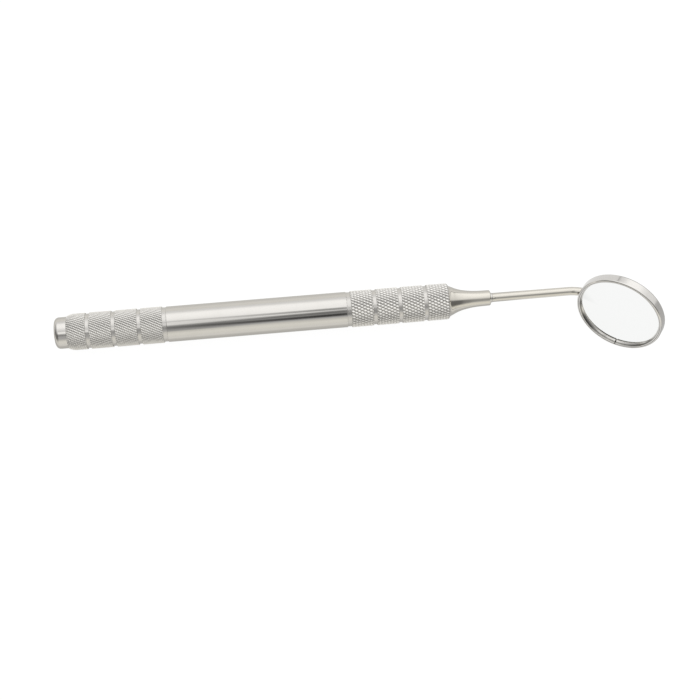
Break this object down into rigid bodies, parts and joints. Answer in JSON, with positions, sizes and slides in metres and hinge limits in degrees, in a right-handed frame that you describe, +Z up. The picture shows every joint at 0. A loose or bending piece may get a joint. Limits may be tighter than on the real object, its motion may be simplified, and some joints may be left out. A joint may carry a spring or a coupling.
{
  "type": "mouth mirror",
  "caption": "Dental mouth mirror: round tilted mirror on a bent stem that screws into a hollow handle with knurled grips.",
  "frame": {"origin": "centre of the tail cap's flat end face, on the handle's axis", "axes": "+X along the handle's axis from the tail to the mirror; +Z up from the table that both grips and the mirror's rim rest on; the mirror leans towards -Y"},
  "size_m": [0.1607, 0.0217, 0.0214],
  "materials": {
    "polished_steel": "mirror-polished stainless steel with a slightly warm tone",
    "knurled_steel": "stainless steel, diamond knurl with polished grooves and nose",
    "satin_steel": "fine circular satin finish",
    "weld_metal": "smoothed weld bead",
    "cement": "matt setting cement",
    "glass": "clear plane glass with ground edges",
    "mirror": "front-surface metal coating, optically smooth"
  },
  "bodies": {
    "handle": {"tail_cap": "polished_steel", "rear_grip": "knurled_steel", "centre_tube": "polished_steel", "front_grip": "knurled_steel"},
    "washer": {"seat_washer": "polished_steel"},
    "head": {"stem": "polished_steel", "weld_fillet": "weld_metal", "mirror_cup": "satin_steel", "backing_cement": "cement", "mirror_glass": "glass", "mirror_coating": "mirror", "glass_ring": "satin_steel"}
  },
  "joints": [
    {"name": "stem_advance", "type": "slide", "parent": "handle", "child": "washer", "axis": [1, 0, 0], "range_m": [0, 0.00585]},
    {"name": "stem_turn", "type": "hinge", "parent": "washer", "child": "head", "pos_m": [0.11, 0, 0], "axis": [1, 0, 0], "range_deg": [0, 4681]}
  ],
  "couplings": [
    {"joint": "stem_turn", "follows": "stem_advance", "rad_per_m": 13963}
  ]
}
